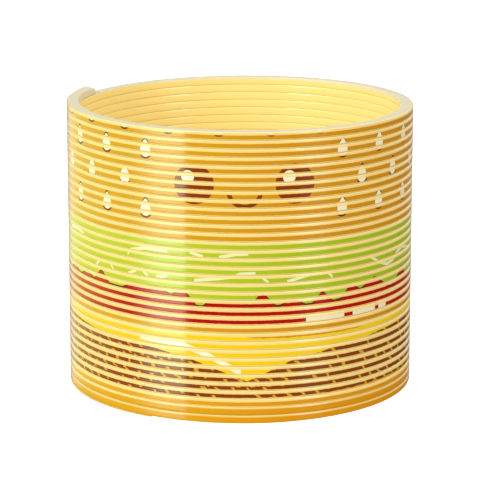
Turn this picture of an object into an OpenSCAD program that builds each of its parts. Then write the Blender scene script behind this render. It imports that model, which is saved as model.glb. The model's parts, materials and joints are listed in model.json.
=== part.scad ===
// Spring coil toy: one flat plastic strip wound into a closed left-handed coil.
// The coil stands on its ground end. Every turn of the strip is its own solid, and the turns
// in the middle of the coil are front and rear halves, which meet where the coil bends.

/* [Coil] */
// Outside diameter of the coil
coil_d = 75; // [60:1:100]
// Radial width of the strip
strip_w = 2.6; // [2:0.1:5]
// Height that one closed turn adds to the stack
pitch = 1.76; // [1.4:0.02:3]
// Clearance between a turn and the one below it
turn_gap = 0.04; // [0.02:0.01:0.1]
// Height of the flat printed land on a turn's outer face
land_h = 0.84; // [0.4:0.02:1]
// Depth of the rounded shoulders above and below the land
shoulder_d = 0.3; // [0.1:0.05:0.6]

/* [Ends] */
// How far round the ground end runs on below the first turn, in degrees
ground_end_angle = 240; // [120:10:250]
// Turns by which the strip has risen off the table where the first turn starts
ground_rise = 0.75; // [0.72:0.01:0.95]
// How far round the last turn goes before the strip is cut, in degrees
top_end_angle = 204; // [190:1:300]

/* [Turns] */
// Number of turns, counting the last one, which is cut short
turns = 35; // [32:1:35]
// First turn that is made as two halves
first_split = 6; // [6:1:12]
// Last turn that is made as two halves
last_split = 29; // [22:1:29]

/* [Smoothness] */
// Flat steps round one turn
steps_per_turn = 36; // [24:4:40]

/* [Hidden] */
outer_r = coil_d / 2;
inner_r = outer_r - strip_w;
full_h = pitch - turn_gap;
shoulder_share = (full_h - land_h) / 2 / full_h;
ground_end_turns = ground_end_angle / 360;
top_end_turns = top_end_angle / 360;

bun_colour = [0.88, 0.62, 0.10];
lettuce_colour = [0.60, 0.80, 0.22];
tomato_colour = [0.80, 0.10, 0.05];
cheese_colour = [0.97, 0.80, 0.15];
patty_colour = [0.60, 0.28, 0.06];
// Highest turn of each printed layer, from the table up, with its colour
LAYERS = [
    [3, bun_colour],
    [9, patty_colour],
    [11, cheese_colour],
    [12, bun_colour],
    [15, tomato_colour],
    [22, lettuce_colour],
    [turns, bun_colour],
];

function turn_name(turn) = str("turn_", turn < 10 ? "0" : "", turn);

// Places on the strip are counted in turns, u, upwards from the start of the first turn at +X.
// The coil is left-handed: going up, the strip runs from +X through the front to -X.
function strip_angle(u) = -360 * u;
function top_z(u) = pitch * (u + ground_rise);
function low_z(u) = max(0, top_z(u - 1) + turn_gap);

// The strip's cross-section at u, from its low inner edge round the outside
function section(u) =
    let (
        low = low_z(u),
        high = top_z(u),
        rise = (high - low) * shoulder_share,
        depth = shoulder_d * (high - low) / full_h
    )
    [
        for (p = [
            [inner_r, low],
            [outer_r - depth, low],
            [outer_r, low + rise],
            [outer_r, high - rise],
            [outer_r - depth, high],
            [inner_r, high],
        ])
        [p.x * cos(strip_angle(u)), p.x * sin(strip_angle(u)), p.y]
    ];

// One closed length of the strip, from u0 up to u1
module strip(u0, u1) {
    sides = 6;
    steps = max(1, round((u1 - u0) * steps_per_turn));
    points = [
        for (i = [0:steps])
        each section(u0 + (u1 - u0) * i / steps)
    ];
    walls = [
        for (i = [0:steps - 1], j = [0:sides - 1])
        let (
            a = i * sides + j,
            b = i * sides + (j + 1) % sides
        )
        each [[a, b, b + sides], [a, b + sides, a + sides]]
    ];
    start_cap = [for (j = [sides - 1:-1:0]) j];
    end_cap = [for (j = [0:sides - 1]) steps * sides + j];
    polyhedron(points = points, faces = concat([start_cap], walls, [end_cap]), convexity = 8);
}

module print_colour(turn) {
    layer = [for (l = LAYERS) if (turn <= l[0]) l][0];
    color(layer[1]) children();
}

// The lowest stretch of strip, ground flat underneath so that it thins to a tip
module bottom_end() {
    print_colour(1) strip(-ground_end_turns, 0);
}

module whole_turn(turn) {
    print_colour(turn) strip(turn - 1, turn);
}

module front_half(turn) {
    print_colour(turn) strip(turn - 1, turn - 0.5);
}

module rear_half(turn) {
    print_colour(turn) strip(turn - 0.5, turn);
}

// The last turn, which stops at the strip's cut end
module top_end() {
    print_colour(turns) strip(turns - 1, turns - 1 + top_end_turns);
}

bottom_end();
for (turn = [1:first_split - 1]) whole_turn(turn);
for (turn = [first_split:last_split]) {
    front_half(turn);
    rear_half(turn);
}
for (turn = [last_split + 1:turns - 1]) whole_turn(turn);
top_end();
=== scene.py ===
import json
import math

import bpy
import numpy as np
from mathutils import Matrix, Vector


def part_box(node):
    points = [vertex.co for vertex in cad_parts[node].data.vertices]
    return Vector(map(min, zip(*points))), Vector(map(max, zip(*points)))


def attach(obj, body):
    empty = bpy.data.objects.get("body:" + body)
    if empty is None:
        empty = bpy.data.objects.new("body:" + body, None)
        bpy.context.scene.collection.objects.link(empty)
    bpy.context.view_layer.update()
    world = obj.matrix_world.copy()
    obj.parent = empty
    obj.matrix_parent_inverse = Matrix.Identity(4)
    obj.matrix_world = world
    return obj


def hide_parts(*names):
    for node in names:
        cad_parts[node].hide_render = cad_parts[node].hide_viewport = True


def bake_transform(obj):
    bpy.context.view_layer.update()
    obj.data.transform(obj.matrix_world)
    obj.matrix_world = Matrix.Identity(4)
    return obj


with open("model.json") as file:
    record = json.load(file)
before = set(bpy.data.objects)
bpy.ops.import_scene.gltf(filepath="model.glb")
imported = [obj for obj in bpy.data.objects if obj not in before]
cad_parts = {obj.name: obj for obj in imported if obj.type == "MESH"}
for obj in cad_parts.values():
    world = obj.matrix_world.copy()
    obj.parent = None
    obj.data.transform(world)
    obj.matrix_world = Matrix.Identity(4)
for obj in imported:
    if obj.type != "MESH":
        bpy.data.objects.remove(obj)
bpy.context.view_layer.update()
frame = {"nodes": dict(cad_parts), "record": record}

MM = 0.001

# ---------------------------------------------------------------------------------------
# The strip, to the CAD's sizes. The CAD has flat shoulders, square inner edges and a square
# cut end, which are rounded here. Places on it are counted in turns, u, from the start of
# turn_01 at +X. Going up, the strip runs from +X through the front, -Y, to -X.
# ---------------------------------------------------------------------------------------

TURNS = max(int(name.split("_")[1]) for name in frame["nodes"] if name.startswith("turn_"))
SPLIT_TURNS = {turn for turn in range(1, TURNS + 1) if f"turn_{turn:02d}_front" in frame["nodes"]}

STRIP_W = 2.6 * MM                # radial width of the strip
TURN_GAP = 0.04 * MM              # clearance between a turn and the one below it
LAND_H = 0.84 * MM                # height of the flat printed land
SHOULDER_D = 0.3 * MM             # how far the outer shoulders round off, inwards
INNER_ROUND_D = 0.14 * MM         # how far the inner edges round off, outwards
INNER_ROUND_H = 0.7 * MM          # and how far up and down
END_ROUND = 0.5 * MM              # rounding of the cut top end
END_SLANT = 0.5 * MM              # how much lower the cut end is on the inside, on top
END_SLANT_TURN = 14 / 360         # length of strip over which it gets lower, in turns

GROUND_END = -240 / 360           # where the ground end thins out
TOP_END = TURNS - 1 + 204 / 360   # where the strip is cut at the top

OUTER_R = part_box("turn_02")[1].x
INNER_R = OUTER_R - STRIP_W
MIDDLE_R = OUTER_R - STRIP_W / 2
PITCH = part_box("turn_03")[1].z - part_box("turn_02")[1].z
GROUND_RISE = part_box("turn_02")[1].z / PITCH - 2
FULL_H = PITCH - TURN_GAP

RINGS_PER_TURN = 120
ARC_STEPS = 6                     # flat steps in each rounded edge of the cross-section


def top_z(u):
    """Height of the strip's upper side."""
    return PITCH * (u + GROUND_RISE)


def low_z(u):
    """Height of its lower side, which is ground flat at the table."""
    return np.maximum(0, top_z(u - 1) + TURN_GAP)


def direction(u):
    """Unit vector from the coil's axis towards the strip at u."""
    angle = -2 * math.pi * np.asarray(u, float)
    return np.stack([np.cos(angle), np.sin(angle), np.zeros_like(angle)], -1)


def edge_arc(wall_r, wall_h, depth, height, start, end):
    """One rounded edge of the cross-section, a quarter of an ellipse.

    It lies between a wall at wall_r and a flat top or bottom. Each point has the wall's
    radius, how far out from the wall it is, its height and its normal. The angles, in
    degrees, are 0 outwards and 90 upwards.
    """
    points = []
    for step in range(ARC_STEPS + 1):
        a = math.radians(start + (end - start) * step / ARC_STEPS)
        side, lift = math.cos(a), math.sin(a)
        inset = -math.copysign(depth, math.cos(math.radians((start + end) / 2)))
        upward = math.copysign(1, math.sin(math.radians((start + end) / 2)))
        normal = np.array([side / depth, lift / height])
        points.append((
            wall_r,
            inset + depth * side,
            upward * (wall_h - height) + height * lift,
            *(normal / np.linalg.norm(normal)),
        ))
    return points


def cross_section():
    """The strip's outline, anticlockwise from the bottom of the outer face."""
    half = FULL_H / 2
    shoulder_h = half - LAND_H / 2
    return np.array(
        edge_arc(OUTER_R, half, SHOULDER_D, shoulder_h, -90, 0)
        + edge_arc(OUTER_R, half, SHOULDER_D, shoulder_h, 0, 90)
        + edge_arc(INNER_R, half, INNER_ROUND_D, INNER_ROUND_H, 90, 180)
        + edge_arc(INNER_R, half, INNER_ROUND_D, INNER_ROUND_H, 180, 270)
    )


SECTION = cross_section()


def ring_places(u0, u1):
    """The turns at which a piece from u0 to u1 has its rings, and how far each is shrunk."""
    count = max(2, math.ceil((u1 - u0) * RINGS_PER_TURN))
    if u1 < TOP_END:
        return np.linspace(u0, u1, count + 1), np.zeros(count + 1)
    per_turn = 2 * math.pi * MIDDLE_R
    angles = np.linspace(0, math.pi / 2, ARC_STEPS + 1)
    rounding = u1 - END_ROUND / per_turn * (1 - np.sin(angles))
    shrink = END_ROUND * (1 - np.cos(angles))
    straight = np.linspace(u0, rounding[0], count, endpoint=False)
    return np.concatenate([straight, rounding]), np.concatenate([np.zeros(count), shrink])


def strip_mesh(name, u0, u1):
    """A closed length of strip, with its own normals so that lengths meet without a line."""
    u, shrink = ring_places(u0, u1)
    low, high = low_z(u), top_z(u)
    wall_r, depth, level, normal_r, normal_z = SECTION.T
    share = ((high - low) / FULL_H)[:, None]
    out = direction(u)[:, None, :]
    up = np.array([0, 0, 1.0])
    inwards = shrink[:, None] * share
    radius = wall_r + depth * share - normal_r * inwards
    height = ((low + high) / 2)[:, None] + level * share - normal_z * inwards
    towards_end = np.clip(1 - (TOP_END - u) / END_SLANT_TURN, 0, 1)[:, None] ** 2
    lift = (height - low[:, None]) / (high - low)[:, None]
    height = height - END_SLANT * towards_end * lift * (OUTER_R - radius) / STRIP_W
    points = out * radius[..., None] + up * height[..., None]
    normals = out * normal_r[:, None] + up * normal_z[:, None]

    rings, sides = radius.shape
    index = np.arange(rings * sides).reshape(rings, sides)
    after = np.roll(index, -1, axis=1)
    walls = np.stack([index[:-1], after[:-1], after[1:], index[1:]], -1).reshape(-1, 4)
    caps = [list(index[0][::-1]), list(index[-1])]
    mesh = bpy.data.meshes.new(name)
    mesh.from_pydata(points.reshape(-1, 3), [], walls.tolist() + caps)
    mesh.polygons.foreach_set("use_smooth", [True] * len(mesh.polygons))

    along = np.cross(direction(u), up)
    corner_normals = np.concatenate([
        normals.reshape(-1, 3)[walls.ravel()],
        np.repeat([-along[0]], sides, 0),
        np.repeat([along[-1]], sides, 0),
    ])
    mesh.normals_split_custom_set(corner_normals.tolist())

    place = mesh.attributes.new(PLACE, "FLOAT_VECTOR", "POINT")
    azimuth = np.broadcast_to(90 - 360 * u[:, None], radius.shape)
    across = np.broadcast_to(level, radius.shape) / MM
    values = np.stack([azimuth, height / MM, across], -1)
    place.data.foreach_set("vector", values.astype(np.float32).ravel())
    depth_in = mesh.attributes.new(DEPTH, "FLOAT", "POINT")
    depths = np.broadcast_to(OUTER_R - wall_r - depth, radius.shape) / MM
    depth_in.data.foreach_set("value", depths.astype(np.float32).ravel())
    mesh.materials.append(PRINTED_PLASTIC)
    return mesh


# ---------------------------------------------------------------------------------------
# Colours and the picture. PLACE holds, for each point of the closed coil, its azimuth in
# degrees to the right of the front, which goes on falling from turn to turn, its height in
# mm, and its height in mm above the middle of its own turn. DEPTH is how far it is in from
# the coil's outside, in mm.
# ---------------------------------------------------------------------------------------

PLACE = "place"
DEPTH = "depth"


def srgb(red, green, blue):
    """A screen colour, 0 to 255, as the linear colour that nodes take."""
    def linear(value):
        value /= 255
        return value / 12.92 if value <= 0.04045 else ((value + 0.055) / 1.055) ** 2.4
    return (linear(red), linear(green), linear(blue), 1)


PLASTIC = srgb(249, 217, 140)
PLASTIC_DEEP = srgb(245, 209, 126)
# The edge, inside and rim colours are painted: the edge and inside ones lighter, as painted light, and
# the rim one greyer, as a painted reflection on the coil's top.
PLASTIC_EDGE_LIGHT = srgb(253, 234, 160)
PLASTIC_INSIDE_LIT = srgb(254, 228, 142)
PLASTIC_RIM_SHEEN = srgb(227, 218, 186)
# The bun, lettuce and base colours go from lighter on the left to darker on the right of each picture:
# painted light and shade, for light falling from the left.
BUN_LIT_LEFT = srgb(212, 163, 23)
BUN_SHADED_RIGHT = srgb(206, 139, 17)
BUN_SHADE = srgb(199, 139, 15)
BASE_LIT_LEFT = srgb(217, 160, 20)
BASE_SHADED_RIGHT = srgb(216, 144, 12)
SEED = srgb(243, 233, 198)
SEED_LINE = srgb(104, 48, 18)
FACE = srgb(134, 54, 2)
LEAF_LIT_LEFT = srgb(190, 206, 44)
LEAF_SHADED_RIGHT = srgb(162, 186, 28)
LEAF_SHADE = srgb(158, 182, 22)
VEIN = srgb(228, 231, 172)
TOMATO = srgb(172, 14, 1)
TOMATO_LINE = srgb(96, 24, 12)
ONION = srgb(238, 226, 192)
CHEESE = srgb(238, 198, 14)
CHEESE_SHINE = srgb(241, 233, 200)
PATTY = srgb(136, 66, 8)
PATTY_DEEP = srgb(124, 54, 4)
PATTY_LIGHT = srgb(214, 152, 40)


class Graph:
    """Short calls for building a material's nodes."""

    def __init__(self, tree):
        self.tree = tree

    def node(self, kind, **settings):
        made = self.tree.nodes.new(kind)
        for name, value in settings.items():
            setattr(made, name, value)
        return made

    def feed(self, socket, value):
        if isinstance(value, bpy.types.NodeSocket):
            self.tree.links.new(value, socket)
        else:
            socket.default_value = value

    def math(self, operation, *values):
        made = self.node("ShaderNodeMath", operation=operation)
        for socket, value in zip(made.inputs, values):
            self.feed(socket, value)
        return made.outputs[0]

    def all_of(self, *masks):
        result = masks[0]
        for mask in masks[1:]:
            result = self.math("MULTIPLY", result, mask)
        return result

    def any_of(self, *masks):
        result = masks[0]
        for mask in masks[1:]:
            result = self.math("MAXIMUM", result, mask)
        return result

    def no(self, mask):
        return self.math("SUBTRACT", 1, mask)

    def above(self, value, limit):
        return self.math("GREATER_THAN", value, limit)

    def below(self, value, limit):
        return self.math("LESS_THAN", value, limit)

    def within(self, value, centre, half_width):
        return self.below(self.math("ABSOLUTE", self.math("SUBTRACT", value, centre)), half_width)

    def wrap(self, value, half_width):
        return self.math("WRAP", value, half_width, -half_width)

    def ramp(self, value, start, end, peak=1):
        """A mask that rises from 0 at start to peak at end."""
        made = self.node("ShaderNodeMapRange", clamp=True)
        for socket, setting in zip(made.inputs, (value, start, end, 0, peak)):
            self.feed(socket, setting)
        return made.outputs[0]

    def mix(self, mask, colour, other):
        """The colour, and the other one where the mask is 1."""
        made = self.node("ShaderNodeMix", data_type="RGBA")
        factor, colour_a, colour_b = made.inputs[0], made.inputs[6], made.inputs[7]
        for socket, value in zip((factor, colour_a, colour_b), (mask, colour, other)):
            self.feed(socket, value)
        return made.outputs[2]

    def scaled(self, vector, scale):
        made = self.node("ShaderNodeVectorMath", operation="MULTIPLY")
        self.feed(made.inputs[0], vector)
        made.inputs[1].default_value = scale
        return made.outputs[0]

    def noise(self, vector, scale, detail=2.0):
        """Noise from 0 to 1. On PLACE, scale is per degree, per mm up and per mm in a turn."""
        made = self.node("ShaderNodeTexNoise")
        self.feed(made.inputs["Vector"], self.scaled(vector, scale))
        made.inputs["Scale"].default_value = 1
        made.inputs["Detail"].default_value = detail
        return made.outputs["Fac"]

    def centred_noise(self, vector, scale, size, detail=2.0):
        """Noise from -size to size."""
        centred = self.math("SUBTRACT", self.noise(vector, scale, detail), 0.5)
        return self.math("MULTIPLY", centred, 2 * size)

    def random(self, value):
        made = self.node("ShaderNodeTexWhiteNoise", noise_dimensions="1D")
        self.feed(made.inputs["W"], value)
        return made.outputs["Value"]

    def line_graph(self, value, points):
        """A height that changes with value along straight lines between points."""
        places, heights = zip(*points)
        span, lift = places[-1] - places[0], max(heights) - min(heights)
        made = self.node("ShaderNodeFloatCurve")
        line = made.mapping.curves[0]
        while len(line.points) < len(points):
            line.points.new(0.5, 0.5)
        for point, (place, height) in zip(line.points, points):
            point.location = ((place - places[0]) / span, (height - min(heights)) / lift)
            point.handle_type = "VECTOR"
        made.mapping.update()
        share = self.math("DIVIDE", self.math("SUBTRACT", value, places[0]), span)
        self.feed(made.inputs["Value"], share)
        return self.math("MULTIPLY_ADD", made.outputs[0], lift, min(heights))

    def strokes(self, x, z, half_height, lines):
        """A mask of drawn lines, each a run of points from left to right."""
        masks = []
        for points in lines:
            height = self.line_graph(x, points)
            middle = (points[0][0] + points[-1][0]) / 2
            reach = self.within(x, middle, points[-1][0] - middle)
            near = self.within(self.math("SUBTRACT", z, height), 0, half_height)
            masks.append(self.all_of(reach, near))
        return self.any_of(*masks)

    def disc(self, x, z, centre_x, centre_z, radius_x, radius_z):
        """The square of how far out a point is in an ellipse, with 1 on its edge."""
        across = self.math("DIVIDE", self.math("SUBTRACT", x, centre_x), radius_x)
        up = self.math("DIVIDE", self.math("SUBTRACT", z, centre_z), radius_z)
        return self.math("ADD", self.math("POWER", self.math("ABSOLUTE", across), 2),
                         self.math("POWER", self.math("ABSOLUTE", up), 2))


MM_PER_DEGREE = math.pi * OUTER_R / MM / 180
PICTURE_CENTRE = 1.5              # azimuth of the middle of the picture
PICTURE_HALF_W = 90 * MM_PER_DEGREE   # the picture comes twice round the coil

SEEDS_ACROSS = 11                 # in one picture
SEED_SPACING = 2 * PICTURE_HALF_W / SEEDS_ACROSS
SEED_ROW_H = 6.2
SEED_LOWEST = 44.95
TOP_ROW_DROP = 0.65               # the cut-off row at the top sits lower by this much
SEED_HALF_W = 1.4
SEED_HALF_H = 1.95
SEED_WAIST = 0.9                  # share of its width that a seed has half-way up
SEED_TAPER = 0.35                 # and the share that it loses from there to its top
SEED_EDGE = 0.85                  # a seed ends at this squared distance, in half sizes
SEED_LINE_EDGE = 1.27             # and the dark line at its ends at this one
SEED_LINE_FROM = 0.6              # the line starts this far up and down, in half heights
FACE_HALF_W = 18.7                # seeds beside the face are further than this from the middle

EYE_X = 10.5
EYE_Z = 50.7
EYE_R = 4.2
SHINE_R = 1.35
SHINE_LEFT, SHINE_UP = 1.3, 1.5   # from the middle of the eye
MOUTH_R = 3.3
MOUTH_LINE = 0.45
MOUTH_DROP = 1.2                  # the mouth's arc is round a point this far below the eyes
MOUTH_TOP_DROP = 2                # and it starts this far below them

# The layers, with heights in mm above the table
LETTUCE_TOP = 38.7
ONION_Z = 21.9
TOMATO_FOOT = 21.1
BASE_TOP = 5.6
EDGE_WANDER = 0.35                # how far the layers' level edges wander
VEIN_HALF_H = 0.33
TOMATO_LINE_H = 0.35
ONION_HALF_H = 0.7
CHEESE_SHINE_HALF_H = 0.6
BUN_CLOUDS = 0.4                  # strength of the darker clouds in the bun
LEAF_CLOUDS = 0.5

SHADE_FROM = 28                   # painted shade: the darker right colours begin this far left of the middle
SHADE_OVER = 40                   # and are full this much further on

CRUMB_SLANT = 0.8                 # mm to the left for each mm up
CRUMB_SPACING = 3.2
CRUMB_HALF_W = 0.36
CRUMB_GAPS = 0.35                 # share of crumbs left out
CRUMB_ROW_SHIFT = 9.0             # rows are shifted by up to this much
CRUMB_WANDER = 1.1
CRUMB_ROW_STEP = 71.3             # keeps the rows' random numbers apart

# Lines of the picture, as mm to the right of its middle and mm above the table
VEINS = [
    [(-49.2, 36.2), (-45.0, 36.5), (-41.7, 36.0)],
    [(-26.2, 34.3), (-25.4, 35.5), (-21.7, 36.3), (-16.4, 36.2)],
    [(-11.5, 36.4), (-8.6, 35.6)],
    [(-5.3, 35.6), (-2.0, 36.2), (0.7, 36.3)],
    [(29.5, 33.0), (32.7, 31.2), (35.6, 30.2), (38.2, 30.7), (40.1, 32.0), (43.0, 32.5), (47.5, 31.5)],
    [(-36.5, 30.2), (-34.7, 31.8)],
    [(-31.3, 31.5), (-30.2, 30.2)],
    [(-26.1, 30.3), (-23.9, 31.3)],
    [(-22.4, 31.5), (-20.9, 30.4)],
    [(-18.9, 30.5), (-16.4, 31.0)],
    [(-10.5, 30.5), (-6.0, 31.0), (-2.3, 31.5), (-1.0, 32.1), (2.2, 32.2)],
    [(3.6, 31.3), (4.9, 30.2)],
    [(8.8, 30.2), (13.3, 31.2), (16.3, 31.5)],
    [(17.7, 31.5), (19.2, 30.2)],
]
TOMATO_EDGE = [
    (-58.9, 28.0), (-50.1, 26.9), (-46.8, 28.2), (-43.5, 26.9), (-39.6, 28.1), (-37.0, 27.0),
    (-34.4, 29.6), (-31.7, 27.0), (-27.8, 26.9), (-24.5, 28.3), (-21.8, 27.6), (-18.7, 28.3),
    (-15.7, 26.9), (-12.8, 28.2), (-10.1, 25.0), (-8.8, 24.9), (-6.9, 26.3), (-0.3, 26.2),
    (1.0, 25.2), (3.6, 27.9), (6.5, 25.0), (7.5, 25.1), (10.1, 26.3), (12.8, 24.9),
    (14.4, 24.9), (16.7, 27.3), (19.3, 24.9), (21.3, 25.1), (23.9, 27.9), (26.5, 26.3),
    (31.1, 28.2), (35.7, 25.4), (37.6, 24.9), (40.3, 26.2), (42.9, 28.3), (45.5, 25.6),
    (48.1, 25.2), (52.0, 27.0), (58.9, 28.0),
]
ONION_RINGS = [(17.6, 4.6), (27.9, 3.4), (33.9, 1.4)]     # middle and half width
CHEESE_TOP = [
    (-PICTURE_HALF_W, 19.5), (-8, 19.4), (4, 18.3), (24, 18.2), (40, 19.3), (PICTURE_HALF_W, 19.5),
]
CHEESE_FOOT = [
    (-PICTURE_HALF_W, 17.6), (-49, 17.3), (-19, 15.2), (-11, 13.6), (-4.5, 11.2), (0.5, 9.2),
    (5, 11.2), (9.5, 13.2), (18.5, 14.9), (32.5, 16.3), (PICTURE_HALF_W, 17.2),
]
CHEESE_SHINE_LINE = [(-23.0, 17.3), (-13.5, 16.7), (-8.4, 15.0), (-5.0, 13.3), (-0.8, 11.0)]


def seeds(g, x, z):
    """Masks of the seeds on the bun, and of the dark lines at the top and foot of each."""
    row = g.math("ROUND", g.math("DIVIDE", g.math("SUBTRACT", z, SEED_LOWEST), SEED_ROW_H))
    odd = g.math("PINGPONG", row, 1)
    shifted = g.math("MULTIPLY_ADD", odd, SEED_SPACING / 2, x)
    across = g.math("DIVIDE", g.wrap(shifted, SEED_SPACING / 2), SEED_HALF_W)
    centre = g.math("MULTIPLY_ADD", row, SEED_ROW_H, SEED_LOWEST)
    centre = g.math("MULTIPLY_ADD", g.above(row, 2.5), -TOP_ROW_DROP, centre)
    up = g.math("DIVIDE", g.math("SUBTRACT", z, centre), SEED_HALF_H)
    width = g.math("MULTIPLY_ADD", up, -SEED_TAPER, SEED_WAIST)
    narrow = g.math("DIVIDE", across, width)
    shape = g.math("ADD", g.math("MULTIPLY", narrow, narrow), g.math("MULTIPLY", up, up))
    beside_face = g.above(g.math("ABSOLUTE", x), FACE_HALF_W)
    over_face = g.above(z, SEED_LOWEST + 2.5 * SEED_ROW_H)
    on_bun = g.above(z, SEED_LOWEST - SEED_ROW_H / 2)
    allowed = g.all_of(on_bun, g.any_of(beside_face, over_face))
    seed = g.all_of(allowed, g.below(shape, SEED_EDGE))
    ends = g.above(g.math("ABSOLUTE", up), SEED_LINE_FROM)
    line = g.all_of(allowed, g.below(shape, SEED_LINE_EDGE), ends, g.no(seed))
    return seed, line


def face(g, x, z):
    """Masks of a plain smile and two round eyes, and of the shine in each eye."""
    side = g.math("ABSOLUTE", x)
    eye = g.below(g.disc(side, z, EYE_X, EYE_Z, EYE_R, EYE_R), 1)
    shines = [
        g.below(g.disc(x, z, centre - SHINE_LEFT, EYE_Z + SHINE_UP, SHINE_R, SHINE_R), 1)
        for centre in (-EYE_X, EYE_X)
    ]
    out = g.math("SQRT", g.disc(x, z, 0, EYE_Z - MOUTH_DROP, 1, 1))
    mouth = g.all_of(g.within(out, MOUTH_R, MOUTH_LINE), g.below(z, EYE_Z - MOUTH_TOP_DROP))
    return g.any_of(eye, mouth), g.any_of(*shines)


def patty(g, place, x, z):
    """The patty's colour, with pale slanted crumbs in rows that are half a turn high."""
    row = g.math("FLOOR", g.math("DIVIDE", z, PITCH / MM / 2))
    slanted = g.math("MULTIPLY_ADD", z, CRUMB_SLANT, x)
    slanted = g.math("ADD", slanted, g.math("MULTIPLY", g.random(row), CRUMB_ROW_SHIFT))
    slanted = g.math("ADD", slanted, g.centred_noise(place, (0.3, 0.3, 0), CRUMB_WANDER))
    column = g.math("ROUND", g.math("DIVIDE", slanted, CRUMB_SPACING))
    crumb = g.math("MULTIPLY_ADD", row, CRUMB_ROW_STEP, column)
    kept = g.above(g.random(crumb), CRUMB_GAPS)
    from_crumb = g.math("ABSOLUTE", g.wrap(slanted, CRUMB_SPACING / 2))
    meat = g.mix(g.noise(place, (0.6, 0.9, 0), 4), PATTY, PATTY_DEEP)
    return g.mix(g.all_of(kept, g.below(from_crumb, CRUMB_HALF_W)), meat, PATTY_LIGHT)


def picture(g, place, x, z):
    """The printed picture's colour at x mm from its middle and z mm above the table."""
    z_soft = g.math("ADD", z, g.centred_noise(place, (0.35, 0.5, 0), EDGE_WANDER))
    # right: share of the painted shade, from the lighter left colours to the darker right ones
    right = g.math("DIVIDE", g.math("ADD", x, SHADE_FROM), SHADE_OVER)

    # Bun, seeds and face
    cloud = g.math("MULTIPLY", g.noise(place, (0.03, 0.06, 0)), BUN_CLOUDS)
    bun = g.mix(cloud, g.mix(right, BUN_LIT_LEFT, BUN_SHADED_RIGHT), BUN_SHADE)
    seed, seed_line = seeds(g, x, z)
    colour = g.mix(seed_line, bun, SEED_LINE)
    colour = g.mix(seed, colour, SEED)
    features, shine = face(g, x, z)
    colour = g.mix(features, colour, FACE)
    colour = g.mix(shine, colour, SEED)

    # Lettuce, with pale veins
    cloud = g.math("MULTIPLY", g.noise(place, (0.05, 0.2, 0)), LEAF_CLOUDS)
    leaf = g.mix(cloud, g.mix(right, LEAF_LIT_LEFT, LEAF_SHADED_RIGHT), LEAF_SHADE)
    leaf = g.mix(g.strokes(x, z, VEIN_HALF_H, VEINS), leaf, VEIN)
    colour = g.mix(g.below(z_soft, LETTUCE_TOP), colour, leaf)

    # Tomato, with a dark line along its lobed top, and onion at its foot
    edge = g.line_graph(x, TOMATO_EDGE)
    colour = g.mix(g.below(z, g.math("ADD", edge, TOMATO_LINE_H)), colour, TOMATO_LINE)
    colour = g.mix(g.below(z, edge), colour, TOMATO)
    rings = g.any_of(*(g.within(x, middle, half_width) for middle, half_width in ONION_RINGS))
    colour = g.mix(g.all_of(rings, g.within(z_soft, ONION_Z, ONION_HALF_H)), colour, ONION)
    colour = g.mix(g.below(z_soft, TOMATO_FOOT), colour, bun)      # bun shows below them

    # Cheese, which hangs down in a corner over the patty
    cheese_top = g.line_graph(x, CHEESE_TOP)
    colour = g.mix(g.below(z_soft, cheese_top), colour, CHEESE)
    shine = g.strokes(x, z, CHEESE_SHINE_HALF_H, [CHEESE_SHINE_LINE])
    colour = g.mix(g.all_of(shine, g.below(z, cheese_top)), colour, CHEESE_SHINE)
    colour = g.mix(g.below(z, g.line_graph(x, CHEESE_FOOT)), colour, patty(g, place, x, z))

    # The bun's base
    return g.mix(g.below(z_soft, BASE_TOP), colour, g.mix(right, BASE_LIT_LEFT, BASE_SHADED_RIGHT))


# The print on each turn, in mm
PRINT_OFFSET = 0.18               # its middle is this far below the middle of its turn
PRINT_HALF_H = 0.42
PRINT_DEPTH = 0.2                 # how far it reaches in over the shoulders
PRINT_RAGGED = 0.07               # how far its edges wander
LOW_TURNS_TOP = 3.4               # on the turns below this height, its half height is
LOW_TURNS_MORE = 0.24             # more by this much
FILLING_Z = 16.5                  # and on the turns round this height,
FILLING_HALF_H = 11               # as far up and down as this, it is
FILLING_LESS = 0.03               # less by this much

# The plastic
INSIDE_FROM, INSIDE_AT = 1.9, 2.5         # mm in from the coil's outside
EDGE_FROM, EDGE_AT = 0.66, 0.84           # mm up and down from the middle of the turn
EDGE_SHARE = 0.9
TOP_FROM, TOP_AT = 0.3, 0.5               # mm in from the coil's outside
RIM_LOWEST = 60.3                         # the coil's top face is above this height, in mm
PRINT_IN_PLASTIC = 0.12                   # share of the print's colour in the bare plastic
PRINT_IN_LOW_TURNS = 0.4                  # and how much more on the lowest turns
ROUGHNESS = 0.05
ROUGHNESS_VARIES = 0.06
TOP_ROUGHER = 0.4
PRINT_ROUGHER = 0.03
BUMP_STRENGTH = 0.06
BUMP_H = 0.03 * MM


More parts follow.
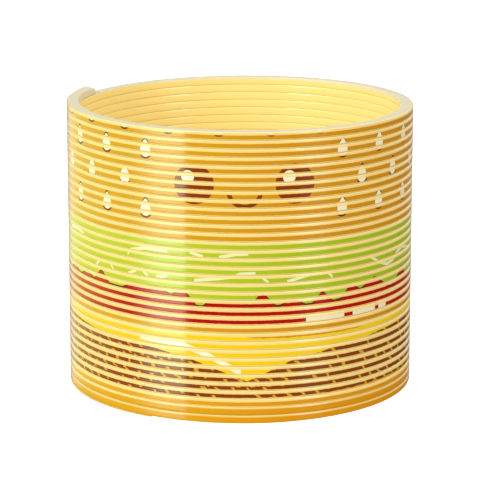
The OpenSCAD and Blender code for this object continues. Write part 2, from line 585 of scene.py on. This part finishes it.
def printed_plastic():
    """Pale yellow glossy plastic, with the picture printed on the land of each turn."""
    material = bpy.data.materials.new("printed_plastic")
    material.use_nodes = True
    g = Graph(material.node_tree)
    shader = material.node_tree.nodes["Principled BSDF"]
    place = g.node("ShaderNodeAttribute", attribute_name=PLACE).outputs["Vector"]
    parts = g.node("ShaderNodeSeparateXYZ")
    g.feed(parts.inputs[0], place)
    azimuth, z, across = parts.outputs
    from_centre = g.wrap(g.math("SUBTRACT", azimuth, PICTURE_CENTRE), 90)
    x = g.math("MULTIPLY", from_centre, MM_PER_DEGREE)

    low_turns = g.below(z, LOW_TURNS_TOP)
    half_print = g.math("MULTIPLY_ADD", low_turns, LOW_TURNS_MORE, PRINT_HALF_H)
    filling = g.within(z, FILLING_Z, FILLING_HALF_H)
    half_print = g.math("MULTIPLY_ADD", filling, -FILLING_LESS, half_print)
    ragged = g.centred_noise(place, (0.8, 0.0, 1.0), PRINT_RAGGED, 3)
    half_print = g.math("ADD", half_print, ragged)
    off_middle = g.math("ABSOLUTE", g.math("ADD", across, PRINT_OFFSET))
    depth = g.node("ShaderNodeAttribute", attribute_name=DEPTH).outputs["Fac"]
    printed = g.all_of(g.below(depth, PRINT_DEPTH), g.below(off_middle, half_print))

    # The plastic, golden inside and paler along its edges, both painted light for the light that comes
    # through the thin plastic, and greyer and duller on the coil's top, the grey a painted reflection.
    # A little of the print's colour shows in it, more so on the lowest turns.
    colour = picture(g, place, x, z)
    plastic = g.mix(g.noise(place, (0.02, 0.3, 1.5), 3), PLASTIC, PLASTIC_DEEP)
    shows = g.math("MULTIPLY_ADD", low_turns, PRINT_IN_LOW_TURNS, PRINT_IN_PLASTIC)
    plastic = g.mix(shows, plastic, colour)
    # Painted light: lighter inside the coil.
    plastic = g.mix(g.ramp(depth, INSIDE_FROM, INSIDE_AT), plastic, PLASTIC_INSIDE_LIT)
    # Painted light: paler near the top and foot of each turn, in the grooves between turns.
    edge = g.ramp(g.math("ABSOLUTE", across), EDGE_FROM, EDGE_AT, EDGE_SHARE)
    plastic = g.mix(edge, plastic, PLASTIC_EDGE_LIGHT)
    # Painted reflection: greyer on the coil's top, which is also rougher.
    coil_top = g.all_of(g.ramp(depth, TOP_FROM, TOP_AT), g.above(z, RIM_LOWEST))
    plastic = g.mix(coil_top, plastic, PLASTIC_RIM_SHEEN)
    g.feed(shader.inputs["Base Color"], g.mix(printed, plastic, colour))

    varied = g.noise(place, (0.4, 2.0, 2.0), 3)
    rough = g.math("MULTIPLY_ADD", varied, ROUGHNESS_VARIES, ROUGHNESS)
    rough = g.math("MULTIPLY_ADD", coil_top, TOP_ROUGHER, rough)
    rough = g.math("MULTIPLY_ADD", printed, PRINT_ROUGHER, rough)
    g.feed(shader.inputs["Roughness"], rough)
    shader.inputs["IOR"].default_value = 1.5
    bump = g.node("ShaderNodeBump")
    bump.inputs["Strength"].default_value = BUMP_STRENGTH
    bump.inputs["Distance"].default_value = BUMP_H
    g.feed(bump.inputs["Height"], g.math("ADD", g.noise(place, (0.5, 1.5, 4.0), 3), printed))
    g.feed(shader.inputs["Normal"], bump.outputs[0])
    return material


PRINTED_PLASTIC = printed_plastic()

# ---------------------------------------------------------------------------------------
# The strip's pieces. Between two turns that slide apart, the strip is a run of short
# lengths, cut at the shares in RISE_SHARES. Where a turn bends at -X, a short length lies
# between its two halves.
# ---------------------------------------------------------------------------------------

RISE_SHARES = (0, 0.05, 0.2, 0.5, 0.8, 0.95, 1)
HINGE_TURN = 6 / 360              # half the length of strip that bends at -X, in turns


def strip_piece(name, u0, u1):
    """A length of strip in its place at rest."""
    piece = bpy.data.objects.new(name, strip_mesh(name, u0, u1))
    bpy.context.scene.collection.objects.link(piece)
    return piece


def blend_along(piece):
    """Bakes the piece's place into its mesh."""
    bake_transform(piece)


def node_of(turn, half):
    """The CAD node that this half of the turn is in."""
    return f"turn_{turn:02d}_{half}" if turn in SPLIT_TURNS else f"turn_{turn:02d}"


def body_of(node):
    return next(body for body, nodes in frame["record"]["behaviour"]["bodies"].items() if node in nodes)


def bottom():
    """The strip from its ground end to the middle of turn_01, which stays where it is."""
    piece = strip_piece("strip_01", GROUND_END, 0.5)
    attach(piece, body_of("turn_01"))
    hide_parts("bottom_end", "turn_01")


def rise(turn):
    """The strip from the middle of a turn to the middle of the next, which slide apart."""
    lower, upper = node_of(turn, "rear"), node_of(turn + 1, "front")
    start = turn - 0.5 + (HINGE_TURN if turn in SPLIT_TURNS else 0)
    end = turn + 0.5 - (HINGE_TURN if turn + 1 in SPLIT_TURNS else 0)
    for step, (share0, share1) in enumerate(zip(RISE_SHARES, RISE_SHARES[1:])):
        u0, u1 = (start + (end - start) * share for share in (share0, share1))
        node = lower if share1 <= 0.5 else upper
        piece = strip_piece(f"strip_{turn:02d}_{'abcdef'[step]}", u0, u1)
        blend_along(piece)
        if share1 == 0.5 or share0 == 0.5 and turn + 1 in SPLIT_TURNS:
            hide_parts(node)


def bend(turn):
    """The short length at -X between the two halves of a split turn."""
    u0, u1 = turn - 0.5 - HINGE_TURN, turn - 0.5 + HINGE_TURN
    piece = strip_piece(f"strip_{turn:02d}_bend", u0, u1)
    blend_along(piece)


def top():
    """The last length of strip, up to where it is cut."""
    node = f"turn_{TURNS:02d}"
    piece = strip_piece("strip_top", TURNS - 0.5, TOP_END)
    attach(piece, body_of(node))
    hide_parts(node)


# ---------------------------------------------------------------------------------------
# Floor, light and camera
# ---------------------------------------------------------------------------------------

CAMERA_DISTANCE = 0.546           # metres in front of the coil's axis
CAMERA_HEIGHT = 0.1594
CAMERA_TILT = 13.29               # degrees down
CAMERA_LENS = 191.9

FLOOR_HALF_W = 4.0
FLOOR_DROP = 0.02 * MM            # how far the floor is below the coil

SKY_LIGHT = 0.83
FLOOR_GLOW = 0.65
SUNS = [
    # name and strength, then in degrees width, azimuth to the right of the front, elevation
    ("key_light", 0.46, 35, -40, 25),
    ("fill_light", 0.14, 60, 62, 55),
]

# What shines in the plastic, as (degrees to the right of the front, brightness). The low
# reflections are those in upright faces, and the high ones those in faces that lean back.
LOW_REFLECTIONS = [
    (-180, 0.2), (-165, 0.35), (-156, 0.9), (-150, 1.3), (-135, 1.2), (-123, 1.1), (-99, 0.8),
    (-87, 0.45), (-76, 0.3), (-69, 1.2), (-62, 2.8), (-56, 4.6), (-48, 5.1), (-40, 4.8),
    (-36.5, 4.4), (-35.5, 0.3), (-30, 0.03), (38, 0.02), (42, 0.4), (56, 0.35), (62, 0.02),
    (130, 0.05), (147, 0.15), (158, 0.35), (168, 0.3), (180, 0.2),
]
HIGH_REFLECTIONS = [
    (-180, 0.35), (-173, 0.35), (-170, 0.1), (-156, 0.15), (-144, 0.4), (-132, 1.1),
    (-99, 1.1), (-76, 0.7), (-62, 2.8), (-56, 4.9), (-40, 5.0), (-36.5, 4.6), (-35.5, 0.5),
    (-30, 0.15), (36, 0.15), (40, 4.6), (56, 4.2), (62, 0.3), (100, 0.2), (120, 0.8),
    (150, 1.0), (168, 0.35), (180, 0.35),
]
HIGH_FROM, HIGH_AT = -8, -2       # degrees of elevation between the low and the high ones
# What red, green and blue are multiplied by, at degrees to the right of the front
REFLECTION_TINTS = [
    (-180, (1, 1, 1)), (-150, (1, 1.05, 0.9)), (-135, (1.2, 1.2, 0.5)),
    (-90, (1.2, 1.25, 0.45)), (-62, (0.95, 1.15, 0.9)), (-36, (0.95, 1.15, 0.9)), (0, (1, 1, 1)),
    (180, (1, 1, 1)),
]
# The share of the brightness that is left, at degrees of elevation
REFLECTION_FADE = [(-18, 0.12), (-17, 1), (50, 1), (65, 0.15)]
REFLECTOR_R = 2.0
REFLECTOR_Z = 30 * MM


def glow_material():
    """A light whose colour and brightness are in the mesh's glow attribute."""
    material = bpy.data.materials.new("reflector_glow")
    material.use_nodes = True
    g = Graph(material.node_tree)
    material.node_tree.nodes.remove(material.node_tree.nodes["Principled BSDF"])
    emission = g.node("ShaderNodeEmission")
    glow = g.node("ShaderNodeAttribute", attribute_name="glow").outputs["Color"]
    g.feed(emission.inputs["Color"], glow)
    g.feed(material.node_tree.nodes["Material Output"].inputs["Surface"], emission.outputs[0])
    material.cycles.emission_sampling = "NONE"
    return material


def reflector_glow(azimuths, elevations):
    """The reflector's colours, a row for each elevation."""
    low = np.interp(azimuths, *zip(*LOW_REFLECTIONS))
    high = np.interp(azimuths, *zip(*HIGH_REFLECTIONS))
    lift = np.clip((elevations - HIGH_FROM) / (HIGH_AT - HIGH_FROM), 0, 1)[:, None]
    fade = np.interp(elevations, *zip(*REFLECTION_FADE))[:, None]
    brightness = (low * (1 - lift) + high * lift) * fade
    places, tints = zip(*REFLECTION_TINTS)
    colours = [np.interp(azimuths, places, part) for part in zip(*tints)]
    tint = np.stack(colours + [np.ones_like(azimuths)], -1)
    return brightness[..., None] * tint


def reflector():
    """A wide unseen dome round the stage, which only shows as reflections in the plastic."""
    azimuths = np.arange(-180, 181, 0.5)
    elevations = np.concatenate([
        np.arange(-86, -20, 2), np.arange(-20, -14, 0.4), np.arange(-14, 88, 2),
    ])
    a, e = np.radians(azimuths)[None, :], np.radians(elevations)[:, None]
    points = np.stack([np.sin(a) * np.cos(e), -np.cos(a) * np.cos(e), np.sin(e) + 0 * a], -1)
    index = np.arange(points.shape[0] * points.shape[1]).reshape(points.shape[:2])
    faces = np.stack([index[:-1, :-1], index[:-1, 1:], index[1:, 1:], index[1:, :-1]], -1)
    mesh = bpy.data.meshes.new("reflector")
    mesh.from_pydata((REFLECTOR_R * points).reshape(-1, 3), [], faces.reshape(-1, 4).tolist())
    glow = mesh.attributes.new("glow", "FLOAT_COLOR", "POINT")
    glow.data.foreach_set("color", reflector_glow(azimuths, elevations).astype(np.float32).ravel())
    mesh.materials.append(glow_material())
    dome = bpy.data.objects.new("reflector", mesh)
    dome.location.z = REFLECTOR_Z
    dome.visible_camera = False
    dome.visible_diffuse = False
    dome.visible_shadow = False
    bpy.context.scene.collection.objects.link(dome)


def floor():
    """A pale sheet that glows like a light table, just under the coil."""
    half = FLOOR_HALF_W
    corners = [(-half, -half, 0), (half, -half, 0), (half, half, 0), (-half, half, 0)]
    mesh = bpy.data.meshes.new("floor")
    mesh.from_pydata(corners, [], [(0, 1, 2, 3)])
    material = bpy.data.materials.new("floor_light_table")
    material.use_nodes = True
    shader = material.node_tree.nodes["Principled BSDF"]
    shader.inputs["Base Color"].default_value = (0.93, 0.93, 0.93, 1)
    shader.inputs["Roughness"].default_value = 0.9
    shader.inputs["Specular IOR Level"].default_value = 0
    shader.inputs["Emission Color"].default_value = (1, 1, 1, 1)
    shader.inputs["Emission Strength"].default_value = FLOOR_GLOW
    material.cycles.emission_sampling = "NONE"
    mesh.materials.append(material)
    sheet = bpy.data.objects.new("floor", mesh)
    sheet.location.z = -FLOOR_DROP
    sheet.visible_diffuse = False
    sheet.visible_glossy = False
    bpy.context.scene.collection.objects.link(sheet)


def sun(name, strength, width, azimuth, elevation):
    """A soft distant light, which doesn't show in the gloss."""
    data = bpy.data.lights.new(name, "SUN")
    data.energy = math.pi * strength
    data.angle = math.radians(width)
    light = bpy.data.objects.new(name, data)
    a, e = math.radians(azimuth), math.radians(elevation)
    towards = Vector((-math.sin(a) * math.cos(e), math.cos(a) * math.cos(e), -math.sin(e)))
    light.rotation_euler = towards.to_track_quat("-Z", "Y").to_euler()
    light.visible_glossy = False
    bpy.context.scene.collection.objects.link(light)


def studio():
    """An even white sky and the suns."""
    world = bpy.data.worlds.new("studio")
    bpy.context.scene.world = world
    world.use_nodes = True
    background = world.node_tree.nodes["Background"]
    background.inputs["Color"].default_value = (1, 1, 1, 1)
    background.inputs["Strength"].default_value = SKY_LIGHT
    world.cycles_visibility.glossy = False
    for settings in SUNS:
        sun(*settings)


def camera():
    """The photo's view, from the front and a little above."""
    data = bpy.data.cameras.new("camera")
    data.lens = CAMERA_LENS
    data.clip_start = 0.01
    eye = bpy.data.objects.new("camera", data)
    eye.location = (0, -CAMERA_DISTANCE, CAMERA_HEIGHT)
    eye.rotation_euler = (math.radians(90 - CAMERA_TILT), 0, 0)
    bpy.context.scene.collection.objects.link(eye)
    bpy.context.scene.camera = eye


camera()
floor()
reflector()
studio()
bottom()
for turn in range(1, TURNS):
    rise(turn)
for turn in sorted(SPLIT_TURNS):
    bend(turn)
top()
bpy.context.scene.view_settings.view_transform = "Standard"
